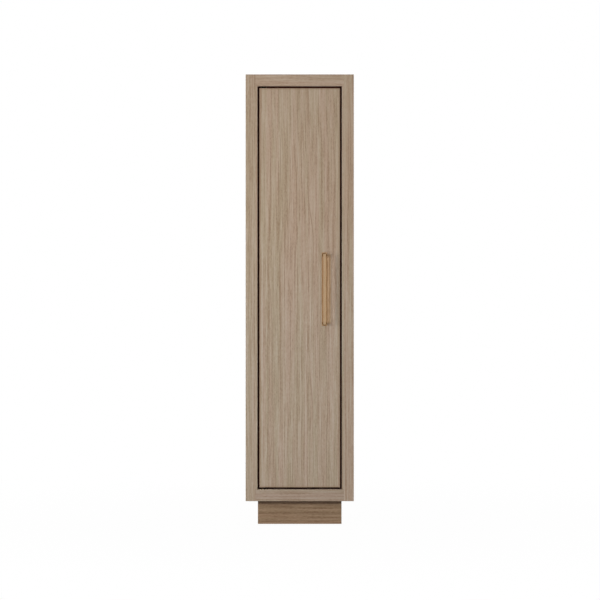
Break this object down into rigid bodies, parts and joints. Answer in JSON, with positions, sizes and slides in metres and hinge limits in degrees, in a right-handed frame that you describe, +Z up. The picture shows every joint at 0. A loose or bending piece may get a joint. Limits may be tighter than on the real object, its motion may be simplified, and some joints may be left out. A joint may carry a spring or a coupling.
{
  "type": "broom cupboard",
  "caption": "Tall narrow oak broom cupboard on a recessed plinth, with an inset door on pivots, a vertical bar handle, a shelf and broom pegs.",
  "frame": {"origin": "on the floor, at the middle of the whole cupboard's width and depth, bar handle included", "axes": "+Z up, the door faces -Y, +X to the right of someone who faces the door"},
  "size_m": [0.4572, 0.4962, 1.905],
  "materials": {
    "washed_oak": "matt lacquered grey-beige oak",
    "plinth_oak": "matt lacquered darker oak",
    "back_oak": "veneered board",
    "pine": "bare pine",
    "beech": "bare beech",
    "satin_brass": "satin brushed",
    "steel": "satin",
    "seal_rubber": "matt dark brown",
    "catch_plastic": "matt brown"
  },
  "bodies": {
    "cabinet": {"back_panel": "back_oak", "back_panel_screws": "steel", "bottom_panel": "washed_oak", "bottom_rail": "washed_oak", "bottom_stop": "washed_oak", "broom_peg_centre": "satin_brass", "broom_peg_left": "satin_brass", "broom_peg_right": "satin_brass", "catch_magnet": "steel", "catch_screws": "steel", "ceiling_battens": "pine", "ceiling_lining": "washed_oak", "corner_block_screws": "steel", "corner_blocks": "pine", "door_seals": "seal_rubber", "floor_battens": "pine", "floor_lining": "washed_oak", "frame_leaf_screws": "steel", "hanging_rail": "washed_oak", "joint_dowels": "beech", "latch_stop": "washed_oak", "left_lining": "washed_oak", "left_side_panel": "washed_oak", "left_stile": "washed_oak", "left_wall_battens": "pine", "lower_frame_leaf": "steel", "lower_pivot_pin": "steel", "magnet_case": "catch_plastic", "peg_rail": "washed_oak", "plinth_back": "plinth_oak", "plinth_front": "plinth_oak", "plinth_left": "plinth_oak", "plinth_right": "plinth_oak", "right_lining": "washed_oak", "right_side_panel": "washed_oak", "right_stile": "washed_oak", "right_wall_battens": "pine", "shelf_pins": "steel", "thrust_collar": "satin_brass", "top_panel": "washed_oak", "top_rail": "washed_oak", "top_stop": "washed_oak", "upper_frame_leaf": "steel", "upper_pivot_pin": "steel", "upper_shelf": "washed_oak"},
    "door": {"door_panel": "washed_oak", "handle_bar": "satin_brass", "handle_backplate": "satin_brass", "upper_handle_post": "satin_brass", "lower_handle_post": "satin_brass", "handle_screws": "steel", "upper_door_leaf": "steel", "lower_door_leaf": "steel", "door_leaf_screws": "steel", "strike_plate": "steel", "strike_plate_screws": "steel"},
    "foot_back_left": {"levelling_foot_back_left": "steel"},
    "foot_back_right": {"levelling_foot_back_right": "steel"},
    "foot_front_left": {"levelling_foot_front_left": "steel"},
    "foot_front_right": {"levelling_foot_front_right": "steel"}
  },
  "joints": [
    {"name": "door_hinge", "type": "hinge", "parent": "cabinet", "child": "door", "pos_m": [-0.1588, -0.1971, 1.0033], "axis": [0, 0, -1], "range_deg": [0, 110]},
    {"name": "foot_back_left_height", "type": "slide", "parent": "cabinet", "child": "foot_back_left", "axis": [0, 0, -1], "range_m": [0, 0.012]},
    {"name": "foot_back_right_height", "type": "slide", "parent": "cabinet", "child": "foot_back_right", "axis": [0, 0, -1], "range_m": [0, 0.012]},
    {"name": "foot_front_left_height", "type": "slide", "parent": "cabinet", "child": "foot_front_left", "axis": [0, 0, -1], "range_m": [0, 0.012]},
    {"name": "foot_front_right_height", "type": "slide", "parent": "cabinet", "child": "foot_front_right", "axis": [0, 0, -1], "range_m": [0, 0.012]}
  ]
}
